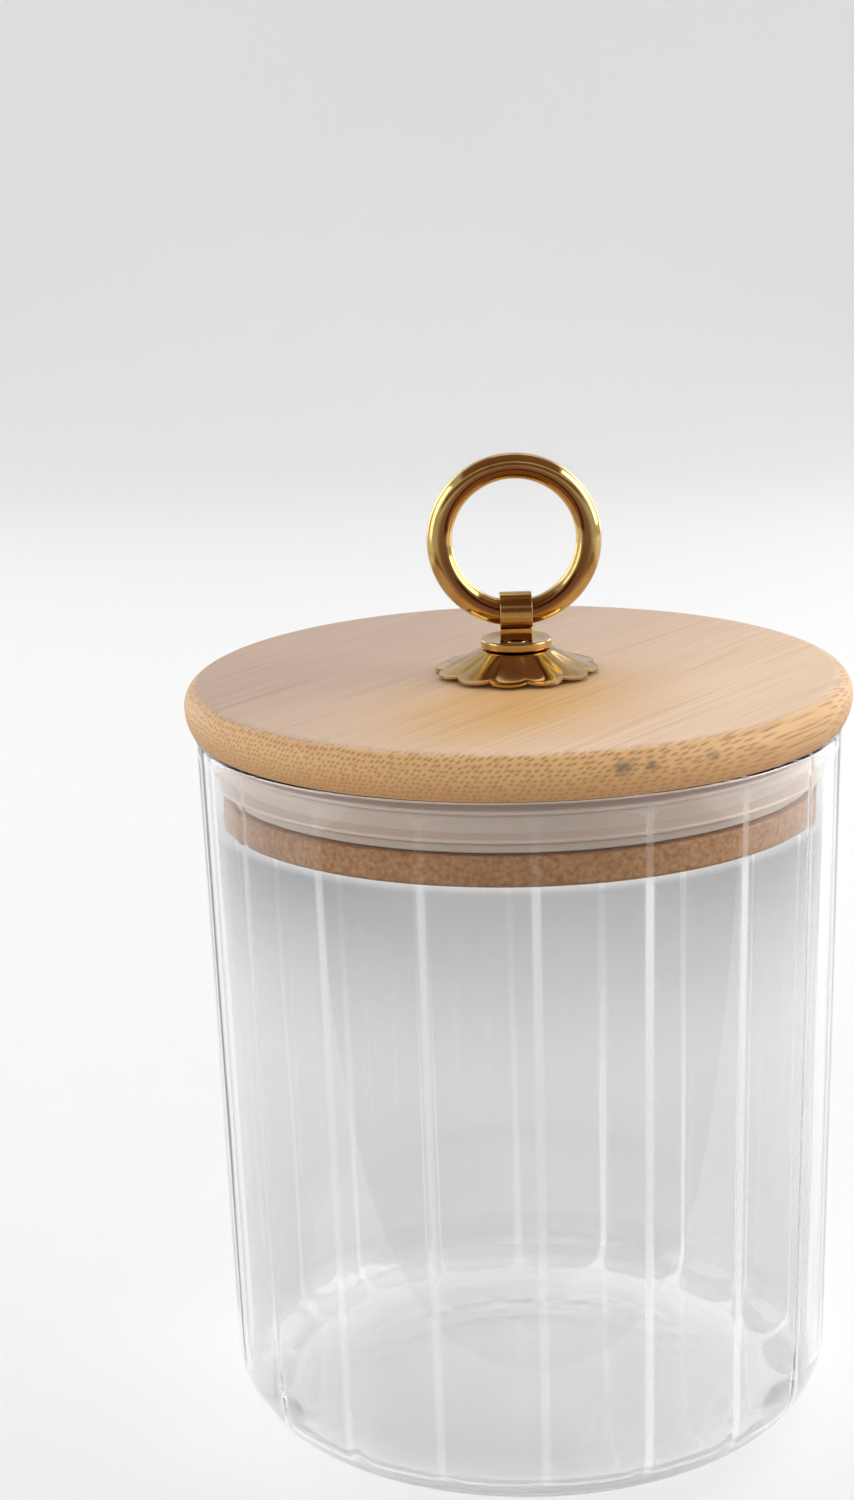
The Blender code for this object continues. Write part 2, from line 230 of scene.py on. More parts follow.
# Brass pull
ROSETTE_RADIUS = 12.8 * MM
ROSETTE_CROWN_RADIUS = 5.6 * MM
ROSETTE_SHEET = 0.35 * MM
ROSETTE_FLARE = 1.4
ROSETTE_LIP = 0.2 * MM
ROSETTE_LIP_START = 0.86  # share of the way to the petals' tips
PETAL_COUNT = 12
PETAL_SCALLOP = 1.2 * MM
PETAL_BULGE = 0.14 * MM
ROSETTE_TURN = math.radians(5.5)
PLATE_HOLE_RADIUS = 2.2 * MM
COLLAR_RADIUS = COLLAR_HIGH.x
COLLAR_ROUND = 0.25 * MM
COLLAR_DISH = 0.35 * MM
COLLAR_DISH_REACH = 0.8  # share of the way to the collar's edge
EYE_OUTER_RADIUS = EYE_HIGH.z - PIVOT.z
EYE_BORE_RADIUS = 2.48 * MM
EYE_HALF_WIDTH = EYE_HIGH.x
EYE_EDGE = 0.4 * MM
EYE_CLEARANCE = 0.05 * MM
NECK_FRONT = 1.0 * MM
NECK_BACK = 1.3 * MM
CURL_END = 212  # degrees round the bore where the curled strap stops, below the front
STUD_RADIUS = 1.75 * MM
THREAD_PITCH = 0.7 * MM
THREAD_DEPTH = 0.25 * MM
RING_BAR_RADIUS = RING_HIGH.y
RING_RADIUS = RING_HIGH.x - RING_BAR_RADIUS
RING_CENTRE = PIVOT + Vector((0.0, 0.0, RING_RADIUS))

# Look of the metals, with roughness where bright and where dull, and patches of dulling to a metre
BRASS_BRIGHT = rgb(0.60, 0.39, 0.14)
BRASS_DULL = rgb(0.36, 0.20, 0.06)
RING_BRIGHT = rgb(0.74, 0.54, 0.21)
RING_DULL = rgb(0.42, 0.25, 0.08)
BRASS_ROUGHNESS = (0.08, 0.22)
BRASS_PATCHES = 90.0
STEEL_BRIGHT = rgb(0.62, 0.62, 0.63)
STEEL_DULL = rgb(0.45, 0.45, 0.46)
STEEL_ROUGHNESS = (0.25, 0.45)
STEEL_PATCHES = 200.0
PATCH_DETAIL = 4.0
PATCH_ROUGHNESS = 0.6
PATCH_FROM, PATCH_TO = 0.35, 0.72
RUBBED_STRETCH = (900.0, 900.0, 5000.0)
RUBBED_STRENGTH = 0.05
RUBBED_DEPTH = 0.02 * MM
# painted reflection: a dark band on the pull ring's face, where something dark is mirrored
RING_REFLECTED_DARK = rgb(0.22, 0.09, 0.03)
REFLECTION_BAND_OUTER_END = RING_RADIUS + 0.9 * MM
REFLECTION_BAND_OUTER_FULL = RING_RADIUS + 0.1 * MM
REFLECTION_BAND_INNER_FULL = RING_RADIUS - 0.7 * MM
REFLECTION_BAND_INNER_END = RING_RADIUS - 1.4 * MM

# Mesh fineness
TURNED_SIDES = 240
SMALL_SIDES = 96
ARC_STEPS = 12
CORNER_STEPS = 32
RIM_STEPS = 8
OUTER_ROWS = 12
TOP_ROWS = 36
WALL_ROWS = 6
FOOT_ROWS = 20
COLUMNS_PER_RIB = 36
COLUMN_CROWDING = 2.2  # above 1 draws the mesh's columns towards the ribs
FLANGE_STEPS = 6
SEAL_STEPS = 4
SEAL_LIP_STEPS = 8
COLLAR_STEPS = 6
STRAP_STEPS = 72
EYE_EDGE_STEPS = 3
RING_STEPS = 160
BAR_STEPS = 40
PETAL_STEPS = 16
ROSETTE_ROWS = 16
SHARP_ANGLE = math.radians(40)

# Stage
STAGE_FLOOR_RADIUS = 0.9
STAGE_CURVE = 0.5
STAGE_CURVE_STEPS = 24
STAGE_HEIGHT = 1.3
STAGE_SIDES = 96
STAGE_DROP = 0.2 * MM  # below the foot, so the two faces don't coincide
STAGE_DEEP = grey(0.70)
STAGE_PALE = grey(0.72)
STAGE_CLOUDS = 3.0
MATT = 0.9

# Light: name, place, point that it faces, width, height and power of each lamp
ROOM_STRENGTH = 0.5
JAR_MIDDLE = (0.0, 0.0, 0.08)
LAMPS = (
    ("top_box", (0.1, 0.25, 1.1), JAR_MIDDLE, 1.0, 1.0, 2.7),
    ("left_box", (-0.85, -0.05, 0.35), JAR_MIDDLE, 0.5, 0.7, 2.5),
    ("right_box", (0.75, 0.0, 0.45), JAR_MIDDLE, 0.5, 0.7, 4.5),
    ("back_left_box", (-0.6, 0.7, 0.3), JAR_MIDDLE, 0.5, 0.6, 1.6),
    ("back_right_box", (0.6, 0.7, 0.3), JAR_MIDDLE, 0.5, 0.6, 2.0),
    ("wall_wash", (0.0, 0.4, 1.2), (0.0, 1.4, 0.45), 1.5, 0.4, 4.0),
)
FRONT_FILL = ("front_fill", (-0.2, -0.8, 0.5), JAR_MIDDLE, 0.8, 0.5, 1.8)

# Cards for the brass to reflect: name, place, point that it faces, width and height
CARD_DEEP = rgb(0.13, 0.05, 0.03)
CARD_PALE = rgb(0.20, 0.085, 0.05)
CARD_CLOUDS = 4.0
CARDS = (
    ("front_card", (0.0, -0.6, 0.42), (0.0, 0.0, 0.13), 1.5, 0.3),
    ("floor_card", (0.0, -0.25, 0.003), (0.0, -0.25, 0.5), 0.7, 0.32),
    ("top_card", (0.0, -0.02, 0.42), (0.0, 0.0, 0.12), 0.5, 0.45),
)
HIDDEN_FROM = ("camera", "diffuse", "transmission", "shadow", "volume_scatter")


def arc(centre_a, centre_b, radius, start, end, steps=ARC_STEPS):
    """Points of a circular arc in a plane, from start to end in degrees."""
    angles = [math.radians(start + (end - start) * i / steps) for i in range(steps + 1)]
    return [(centre_a + radius * math.cos(t), centre_b + radius * math.sin(t)) for t in angles]


def steps_between(start, end, count):
    return [start + (end - start) * i / count for i in range(count + 1)]


def smooth(share):
    share = min(1.0, max(0.0, share))
    return share * share * (3 - 2 * share)


def blend(first, second, share):
    return first + (second - first) * share


def even_angles(count, turn=0.0):
    return [2 * math.pi * i / count + turn for i in range(count)]


def level_ring(radius, height, angles):
    return [(radius * math.cos(t), radius * math.sin(t), height) for t in angles]


def skin(rings, joined=False):
    """A closed mesh over rings of points. Joined rings close on themselves, and others end in flat caps."""
    bm = bmesh.new()
    loops = [[bm.verts.new(point) for point in ring] for ring in rings]
    pairs = list(zip(loops, loops[1:]))
    if joined:
        pairs.append((loops[-1], loops[0]))
    else:
        bm.faces.new(loops[0])
        bm.faces.new(loops[-1])
    for lower, upper in pairs:
        for i in range(len(lower)):
            j = (i + 1) % len(lower)
            bm.faces.new((lower[i], lower[j], upper[j], upper[i]))
    return bm


def turned(outline, sides=TURNED_SIDES, joined=True):
    angles = even_angles(sides)
    return skin([level_ring(r, z, angles) for r, z in outline], joined)


def add_piece(name, bm, made_of, body, node):
    """A shown piece that rides on a body and stands for a node of the frame."""
    bmesh.ops.recalc_face_normals(bm, faces=bm.faces)
    mesh = bpy.data.meshes.new(name)
    bm.to_mesh(mesh)
    bm.free()
    mesh.materials.append(made_of)
    mesh.shade_smooth()
    mesh.set_sharp_from_angle(angle=SHARP_ANGLE)
    piece = bpy.data.objects.new(name, mesh)
    bpy.context.scene.collection.objects.link(piece)
    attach(piece, body)
    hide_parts(node)
    return piece


# Materials


class Nodes:
    """A material's node tree, with short calls to add and join nodes."""

    MIX_FIRST, MIX_SECOND, MIX_RESULT = 6, 7, 2  # sockets of a Mix node that mixes colours

    def __init__(self, name):
        self.material = bpy.data.materials.new(name)
        self.material.use_nodes = True
        self.tree = self.material.node_tree
        self.shader = self.tree.nodes["Principled BSDF"]

    def add(self, kind, inputs=None, **settings):
        node = self.tree.nodes.new("ShaderNode" + kind)
        for key, value in settings.items():
            setattr(node, key, value)
        for key, value in (inputs or {}).items():
            self.feed(node, key, value)
        return node

    def feed(self, node, key, value):
        if isinstance(value, bpy.types.NodeSocket):
            self.tree.links.new(value, node.inputs[key])
        else:
            node.inputs[key].default_value = value

    def set(self, **values):
        for key, value in values.items():
            self.feed(self.shader, key.replace("_", " "), value)

    def maths(self, operation, first, second):
        return self.add("Math", {0: first, 1: second}, operation=operation).outputs[0]

    def product(self, first, second):
        return self.maths("MULTIPLY", first, second)

    def length(self, vector):
        return self.add("VectorMath", {0: vector}, operation="LENGTH").outputs["Value"]

    def pair(self, first, second):
        return self.add("CombineXYZ", {0: first, 1: second}).outputs[0]

    def fade(self, value, low, high):
        """0 at low and below, 1 at high and above, smooth between."""
        inputs = {"Value": value, "From Min": low, "From Max": high}
        return self.add("MapRange", inputs, interpolation_type="SMOOTHSTEP").outputs["Result"]

    def ramp(self, value, low, high, at_low, at_high):
        """A straight ramp from one value to another, level beyond its ends."""
        inputs = {"Value": value, "From Min": low, "From Max": high, "To Min": at_low, "To Max": at_high}
        return self.add("MapRange", inputs).outputs["Result"]

    def mix(self, share, first, second):
        node = self.add("Mix", {0: share}, data_type="RGBA")
        self.feed(node, self.MIX_FIRST, first)
        self.feed(node, self.MIX_SECOND, second)
        return node.outputs[self.MIX_RESULT]

    def noise(self, vector, scale=1.0, detail=2.0, roughness=0.5):
        inputs = {"Vector": vector, "Scale": scale, "Detail": detail, "Roughness": roughness}
        return self.add("TexNoise", inputs).outputs["Fac"]

    def place(self):
        return self.add("TexCoord").outputs["Object"]

    def turn(self, vector, angle):
        return self.add("Mapping", {"Vector": vector, "Rotation": (0.0, 0.0, -angle)}).outputs[0]

    def stretch(self, vector, scale, angle=0.0):
        """The place turned about Z, then scaled along each turned axis."""
        return self.add("Mapping", {"Vector": self.turn(vector, angle), "Scale": scale}).outputs[0]

    def bump(self, height, strength, distance):
        inputs = {"Height": height, "Strength": strength, "Distance": distance}
        return self.add("Bump", inputs).outputs["Normal"]


def painted_lid_shade(nodes, height):
    """Painted shade: 1 on the inside of the wall close under the lid, and 0 far below it or where the lid is
    lifted.
    """
    surface = nodes.add("NewGeometry").outputs
    facing = nodes.ramp(surface["Backfacing"], 0.0, 1.0, 1.0, -1.0)
    inward = nodes.add("VectorMath", {0: surface["Normal"], "Scale": facing}, operation="SCALE").outputs[0]
    inputs = {"Distance": LID_SHADE_REACH, "Normal": inward}
    unhidden = nodes.add("AmbientOcclusion", inputs, samples=LID_SHADE_SAMPLES).outputs["AO"]
    below = nodes.fade(height, LID_LOW.z + LID_SHADE_EDGE, LID_LOW.z - LID_SHADE_EDGE)
    upper = nodes.fade(height, LID_SHADE_START, LID_SHADE_FULL)
    shade = nodes.ramp(unhidden, OPEN_UNDER_LID, 1.0, 1.0, 0.0)
    return nodes.product(shade, nodes.product(below, upper))


def glass_material():
    """Clear glass: panels a little grey, with painted shade under the lid; ribs and foot with a bright haze,
    the ribs clearer towards +X as painted light.
    """
    nodes = Nodes("clear_glass")
    place = nodes.place()
    parts = nodes.add("SeparateXYZ", {0: place}).outputs
    height = parts["Z"]
    radius = nodes.length(nodes.pair(parts["X"], parts["Y"]))
    drag = nodes.noise(nodes.stretch(place, DRAG_STRETCH))
    panel = nodes.add("Attribute", attribute_name="panel").outputs["Fac"]
    rib = nodes.add("Attribute", attribute_name="rib").outputs["Fac"]
    wall = nodes.mix(nodes.fade(height, LOW_WALL_END, LOW_WALL_LEVEL), GLASS_PANEL, GLASS_LOW)
    wall_with_lid_shade = nodes.mix(painted_lid_shade(nodes, height), wall, GLASS_SHADED)
    outside = nodes.fade(radius, FOOT_INNER_RADIUS, FOOT_RADIUS - FOOT_CORNER / 2)
    low = nodes.ramp(height, FOOT_HAZE_LEVEL, FOOT_CORNER, GLASS_FOOT_HAZE, 0.0)
    haze = nodes.maths("MAXIMUM", nodes.product(low, outside), nodes.product(rib, RIB_HAZE))
    solid = nodes.product(nodes.fade(height, FOOT_TINT_END, FOOT_TINT_LEVEL), outside)
    clear = nodes.mix(solid, GLASS_CLEAR, GLASS_FOOT)
    nodes.set(
        Base_Color=nodes.mix(panel, clear, wall_with_lid_shade),
        Roughness=nodes.product(rib, RIB_ROUGHNESS),
        IOR=GLASS_IOR,
        Transmission_Weight=nodes.maths("SUBTRACT", 1.0, haze),
        Normal=nodes.bump(drag, DRAG_STRENGTH, DRAG_DEPTH),
    )
    return nodes.material


def smudges(nodes, place):
    """1 in the middle of each small dark mark on the lid's edge, 0 away from them."""
    grain = nodes.noise(place, SMUDGE_SCALE, SMUDGE_DETAIL, SMUDGE_ROUGHNESS)
    ragged = nodes.fade(grain, SMUDGE_FROM, SMUDGE_TO)
    marks = 0.0
    for turn, half in SMUDGES:
        angle = math.radians(turn - 90)
        spot = (LID_RADIUS * math.cos(angle), LID_RADIUS * math.sin(angle), LID_TOP - SMUDGE_BELOW_TOP)
        off = nodes.add("VectorMath", {0: place, 1: spot}, operation="SUBTRACT").outputs["Vector"]
        away = nodes.length(nodes.stretch(off, (1.0, 1.0, SMUDGE_FLATNESS)))
        marks = nodes.maths("MAXIMUM", marks, nodes.fade(away, half, 0.0))
    return nodes.product(marks, ragged)


def fibre_ends(nodes, place, side, level):
    """Staggered dots where the fibres end on the cut edge, faint on the lid's flat top."""
    wander = nodes.noise(nodes.stretch(place, WANDER_STRETCH, GRAIN_TURN))
    rows = nodes.maths("ADD", nodes.maths("DIVIDE", level, FIBRE_ROW), nodes.product(wander, WANDER_ROWS))
    shift = nodes.product(rows, FIBRE_STAGGER)
    spacings = nodes.maths("ADD", nodes.maths("DIVIDE", side, FIBRE_SPACING), shift)
    inputs = {"Vector": nodes.pair(spacings, rows), "Scale": 1.0, "Randomness": FIBRE_RANDOMNESS}
    cells = nodes.add("TexVoronoi", inputs, voronoi_dimensions="2D").outputs["Distance"]
    dots = nodes.fade(cells, DOT_EDGE, DOT_CORE)
    high = nodes.ramp(level, LID_UNDERSIDE, LID_TOP, DOT_SHARE_LOW, DOT_SHARE_HIGH)
    off_top = nodes.ramp(level, LID_TOP - DOT_TOP_DEPTH, LID_TOP - DOT_TOP_END, 1.0, DOT_SHARE_TOP)
    return nodes.product(dots, nodes.product(high, off_top))


def bamboo_ground(nodes, place, lengthwise, side, level):
    """The top's colour from left to right, partly real strips of bamboo and partly painted light, brighter to
    the right; golden round the edge and in a patch of painted reflection.
    """
    broad = nodes.noise(nodes.stretch(place, BROAD_STRETCH, GRAIN_TURN), detail=BROAD_DETAIL)
    drift = nodes.maths("ADD", side, nodes.ramp(broad, 0.0, 1.0, -STRIP_DRIFT, STRIP_DRIFT))
    strips_and_side_light = nodes.ramp(drift, -STRIP_AND_LIGHT_REACH, STRIP_AND_LIGHT_REACH, 0.0, 1.0)
    ground = nodes.mix(strips_and_side_light, BAMBOO_RIGHT_STRIPS_LIT, BAMBOO_LEFT_STRIPS_SHADED)
    # painted reflection: a golden patch where something dark above the lid is mirrored in the top
    off_along = nodes.maths("DIVIDE", nodes.maths("SUBTRACT", lengthwise, REFLECTION_PATCH_ALONG), REFLECTION_PATCH_LENGTH)
    off_across = nodes.maths("DIVIDE", nodes.maths("SUBTRACT", drift, REFLECTION_PATCH_ACROSS), REFLECTION_PATCH_WIDTH)
    reflection_patch = nodes.fade(nodes.length(nodes.pair(off_along, off_across)), 1.0, REFLECTION_PATCH_CORE)
    on_edge = nodes.ramp(level, LID_TOP - EDGE_GOLDEN_DEPTH, LID_TOP - EDGE_GOLDEN_END, EDGE_GOLDEN, 0.0)
    return nodes.mix(nodes.maths("MAXIMUM", reflection_patch, on_edge), ground, BAMBOO_GOLDEN)


def bamboo_flange(nodes, place):
    """The mottled end grain of the flange that sits in the glass, on a brown darkened as painted shade."""
    mottle = nodes.ramp(nodes.noise(place, MOTTLE_SCALE), MOTTLE_FROM, MOTTLE_TO, 0.0, MOTTLE_SHARE)
    return nodes.mix(mottle, BAMBOO_SHADED, BAMBOO_GOLDEN)


def bamboo_material():
    """Bamboo: long straight fibres along the grain, whose ends show as staggered dots on the cut edge."""
    nodes = Nodes("bamboo")
    place = nodes.place()
    parts = nodes.add("SeparateXYZ", {0: nodes.turn(place, GRAIN_TURN)}).outputs
    lengthwise, side, level = parts["X"], parts["Y"], parts["Z"]
    fine = nodes.noise(nodes.stretch(place, FINE_STRETCH, GRAIN_TURN), 1.0, FINE_DETAIL, FINE_ROUGHNESS)
    streaks = nodes.noise(nodes.stretch(place, STREAK_STRETCH, GRAIN_TURN))
    dark_streaks = nodes.product(nodes.fade(streaks, STREAK_FROM, STREAK_TO), STREAK_SHARE)
    dark_fibres = nodes.product(nodes.fade(fine, FINE_FROM, FINE_TO), FINE_SHARE)
    ends = fibre_ends(nodes, place, side, level)
    # painted shade on the edge just above the disc's underside
    low = nodes.ramp(level, LID_UNDERSIDE, LID_UNDERSIDE + LOW_EDGE_HEIGHT, LOW_EDGE_SHADE, 0.0)
    on_flange = nodes.ramp(level, LID_UNDERSIDE - FLANGE_LOOK_EDGE, LID_UNDERSIDE, 1.0, 0.0)
    colour = bamboo_ground(nodes, place, lengthwise, side, level)
    for dark in (dark_streaks, dark_fibres, ends):
        colour = nodes.mix(dark, colour, BAMBOO_DARK)
    colour = nodes.mix(low, colour, BAMBOO_SHADED)
    colour = nodes.mix(on_flange, colour, bamboo_flange(nodes, place))
    colour = nodes.mix(nodes.product(smudges(nodes, place), SMUDGE_SHARE), colour, SMUDGE_COLOUR)
    relief = nodes.maths("SUBTRACT", nodes.product(fine, FINE_RELIEF), ends)
    nodes.set(
        Base_Color=colour,
        Roughness=nodes.ramp(fine, 0.0, 1.0, BAMBOO_SMOOTHEST, BAMBOO_ROUGHEST),
        Normal=nodes.bump(relief, RELIEF_STRENGTH, RELIEF_DEPTH),
    )
    return nodes.material


def silicone_material():
    """Milky silicone, a little cloudy inside."""
    nodes = Nodes("milky_silicone")
    cloud = nodes.noise(nodes.stretch(nodes.place(), SILICONE_STRETCH))
    nodes.set(
        Base_Color=nodes.mix(cloud, SILICONE_DEEP, SILICONE_PALE),
        Roughness=SILICONE_ROUGHNESS,
        Subsurface_Weight=SILICONE_SCATTER,
        Subsurface_Scale=SILICONE_SCATTER_DEPTH,
    )
    return nodes.material


def ring_reflection_band(nodes, place):
    """Painted reflection of something dark: 1 in a band on the pull ring's face, and 0 on its outside and
    inside edges, which keep the metal's own colour.
    """
    out = nodes.add("VectorMath", {0: place, 1: RING_CENTRE}, operation="DISTANCE").outputs["Value"]
    outer = nodes.fade(out, REFLECTION_BAND_OUTER_END, REFLECTION_BAND_OUTER_FULL)
    inner = nodes.fade(out, REFLECTION_BAND_INNER_END, REFLECTION_BAND_INNER_FULL)
    return nodes.product(outer, inner)


def metal_material(name, bright, dull, roughness, patch_scale, reflection_band=None):
    """Metal with patches of dulling and fine rubbing marks, and a painted dark reflection where a mask is
    given.
    """
    nodes = Nodes(name)
    place = nodes.place()
    cloud = nodes.noise(place, patch_scale, PATCH_DETAIL, PATCH_ROUGHNESS)
    patches = nodes.fade(cloud, PATCH_FROM, PATCH_TO)
    rubbed = nodes.noise(nodes.stretch(place, RUBBED_STRETCH))
    colour = nodes.mix(patches, bright, dull)
    if reflection_band:
        colour = nodes.mix(reflection_band(nodes, place), colour, RING_REFLECTED_DARK)
    nodes.set(
        Base_Color=colour,
        Metallic=1.0,
        Roughness=nodes.ramp(patches, 0.0, 1.0, *roughness),
        Normal=nodes.bump(rubbed, RUBBED_STRENGTH, RUBBED_DEPTH),
    )
    return nodes.material


def matt_material(name, deep, pale, clouds):
    """A matt surface that varies softly between two tones."""
    nodes = Nodes(name)
    cloud = nodes.noise(nodes.place(), clouds)
    nodes.set(Base_Color=nodes.mix(cloud, deep, pale), Roughness=MATT)
    return nodes.material


# Glass jar


def glass_columns():
    """Angle and share of a pitch from the nearest rib, -0.5 to 0.5, of each upright line of the mesh."""
    pitch = 2 * math.pi / RIB_COUNT
    columns = []
    for k in range(RIB_COUNT):
        for i in range(COLUMNS_PER_RIB):
            even = 2 * i / COLUMNS_PER_RIB - 1
            share = 0.5 * math.copysign(abs(even) ** COLUMN_CROWDING, even)
            columns.append((-math.pi / 2 + (k + share) * pitch, share))
    return columns


def inner_radius(height):
    """Radius of the inside of the glass, which narrows evenly from the mouth to the foot."""
    share = (height - FOOT_CORNER) / (RIM_HEIGHT - FOOT_CORNER)
    return blend(FOOT_RADIUS, JAR_RADIUS, share) - LIP_WALL


def outside_outline():
    """(radius, height) from the middle of the underside, up the outside and over the rim."""
    shoulder = JAR_HEIGHT - RIM_ROUND
    outline = [(r, PUNT_DEPTH) for r in (CAP_RADIUS, PUNT_RADIUS / 2, PUNT_RADIUS)]
    outline.append((FOOT_INNER_RADIUS, 0.0))
    outline += arc(FOOT_RADIUS - FOOT_CORNER, FOOT_CORNER, FOOT_CORNER, -90, 0, CORNER_STEPS)
    levels = steps_between(FOOT_CORNER, RIM_HEIGHT, OUTER_ROWS)[1:]
    outline += [(inner_radius(z) + LIP_WALL, z) for z in levels]
    outline += arc(JAR_RADIUS - RIM_ROUND, shoulder, RIM_ROUND, 0, 90, RIM_STEPS)
    outline += arc(JAR_RADIUS - LIP_WALL + RIM_ROUND, shoulder, RIM_ROUND, 90, 180, RIM_STEPS)
    return outline


def inside_rows():
    """(radius, height, outward radius, outward height, distance from the rim) down the inside of the wall."""
    corner_level = BASE_THICKNESS + INSIDE_CORNER
    top_zone = JAR_HEIGHT - PANEL_TOP_BELOW_RIM - 2 * PANEL_TOP_CORNER
    foot_zone = corner_level + 2 * PANEL_FOOT_CORNER
    levels = steps_between(JAR_HEIGHT - RIM_ROUND, top_zone, TOP_ROWS)[1:]
    levels += steps_between(top_zone, foot_zone, WALL_ROWS)[1:]
    levels += steps_between(foot_zone, corner_level, FOOT_ROWS)[1:]
    rows = [(inner_radius(z), z, 1.0, 0.0, JAR_HEIGHT - z) for z in levels]
    straight = JAR_HEIGHT - corner_level
    floor_edge = inner_radius(corner_level) - INSIDE_CORNER
    for i, (r, z) in enumerate(arc(floor_edge, corner_level, INSIDE_CORNER, 0, -90, CORNER_STEPS)[1:]):
        turn = math.radians(90 * (i + 1) / CORNER_STEPS)
        rows.append((r, z, math.cos(turn), -math.sin(turn), straight + INSIDE_CORNER * turn))
    bend = straight + INSIDE_CORNER * math.pi / 2
    for r in steps_between(floor_edge, floor_edge - 2 * PANEL_ONTO_FLOOR, FOOT_ROWS)[1:]:
        rows.append((r, BASE_THICKNESS, 0.0, -1.0, bend + floor_edge - r))
    return rows


def off_panel(radius, along, share):
    """How far a point of the inside lies off its panel: below 0 within. A panel has round corners."""
    top = PANEL_TOP_BELOW_RIM
    corner_level = JAR_HEIGHT - BASE_THICKNESS - INSIDE_CORNER
    foot = corner_level + INSIDE_CORNER * math.pi / 2 + PANEL_ONTO_FLOOR
    middle = (top + foot) / 2
    corner = PANEL_TOP_CORNER if along < middle else PANEL_FOOT_CORNER
    pitch_width = 2 * math.pi * radius / RIB_COUNT
    from_middle = (0.5 - abs(share)) * pitch_width
    across = from_middle - (pitch_width / 2 - corner)
    lengthwise = abs(along - middle) - ((foot - top) / 2 - corner)
    beyond_corner = math.hypot(max(across, 0.0), max(lengthwise, 0.0)) - corner
    return beyond_corner + min(max(across, lengthwise), 0.0)


def inside_ring(row, columns):
    """A ring of points on the inside, and how far each is on a panel and on a rib, with painted light: ribs
    away from the light on the right count less, so they stay greyer and less hazy.
    """
    radius, height, out_r, out_z, along = row
    on_wall = smooth((height - BASE_THICKNESS) / INSIDE_CORNER) * smooth(along / PANEL_TOP_BELOW_RIM)
    raised = smooth((height - FOOT_CORNER / 2) / FOOT_CORNER)
    deepest = blend(PANEL_FOOT_DEPTH, PANEL_DEPTH, raised)
    fillet = blend(PANEL_FOOT_FILLET, RIB_FILLET, raised)
    points, panel, rib = [], [], []
    for angle, share in columns:
        within = -off_panel(radius, along, share)
        depth = deepest * smooth(within / fillet)
        r = radius + depth * out_r
        points.append((r * math.cos(angle), r * math.sin(angle), height + depth * out_z))
        # painted light: ribs towards +X, where the light comes from the right, are wholly clear; the others
        # fainter
        lit = blend(RIB_FAINT, 1.0, smooth((math.cos(angle) - RIB_LIT_FROM) / RIB_LIT_FADE))
        flat = 1 - lit * (1 - smooth((within - RIB_HALF) / RIB_SOFTNESS))
        panel.append(flat * (1 - FOOT_CLEARING * (1 - on_wall)))
        off_rib = abs(share) * 2 * math.pi * radius / RIB_COUNT
        rib.append(lit * (1 - smooth((off_rib - RIB_HALF) / RIB_SOFTNESS)) * on_wall)
    return points, panel, rib


def glass_jar(made_of):
    """The jar, with two attributes for its material: how far each point is on a panel and on a rib, both
    carrying painted light that makes the ribs clearer towards the right.
    """
    columns = glass_columns()
    angles = [angle for angle, _ in columns]
    bare = [0.0] * len(columns)
    rings = [level_ring(r, z, angles) for r, z in outside_outline()]
    panel = bare * len(rings)
    rib = bare * len(rings)
    for row in inside_rows():
        points, on_panel, on_rib = inside_ring(row, columns)
        rings.append(points)
        panel += on_panel
        rib += on_rib
    for r in (PUNT_RADIUS / 2, CAP_RADIUS):
        rings.append(level_ring(r, BASE_THICKNESS, angles))
        panel += bare
        rib += bare
    jar = add_piece("fluted_glass", skin(rings), made_of, "jar", "glass_jar")
    for name, values in (("panel", panel), ("rib", rib)):
        jar.data.attributes.new(name, "FLOAT", "POINT").data.foreach_set("value", values)
    jar.visible_shadow = False
    return jar


# Lid and seal


def bamboo_lid(made_of):
    widest = LID_TOP - LID_TOP_ROUND
    tuck = math.degrees(math.asin((widest - LID_UNDERSIDE) / LID_SIDE_ROUND))
    groove_floor = LID_UNDERSIDE - GROOVE_HEIGHT
    underside = LID_LOW.z
    ceiling = underside + RECESS_DEPTH
    outline = [(LID_BORE_RADIUS, LID_TOP)]
    outline += arc(LID_RADIUS - LID_TOP_ROUND, widest, LID_TOP_ROUND, 90, 0)
    outline += arc(LID_RADIUS - LID_SIDE_ROUND, widest, LID_SIDE_ROUND, 0, -tuck)[1:]
    outline += [(GROOVE_RADIUS, LID_UNDERSIDE), (GROOVE_RADIUS, groove_floor)]
    outline += [(FLANGE_RADIUS - LID_CHAMFER, groove_floor), (FLANGE_RADIUS, groove_floor - LID_CHAMFER)]
    outline += arc(FLANGE_RADIUS - FLANGE_ROUND, underside + FLANGE_ROUND, FLANGE_ROUND, 0, -90, FLANGE_STEPS)
    outline += [(RECESS_RADIUS + LID_CHAMFER, underside), (RECESS_RADIUS, underside + LID_CHAMFER)]
    outline += [(RECESS_RADIUS, ceiling), (LID_BORE_RADIUS, ceiling)]
    return add_piece("turned_lid", turned(outline), made_of, "lid", "bamboo_lid")


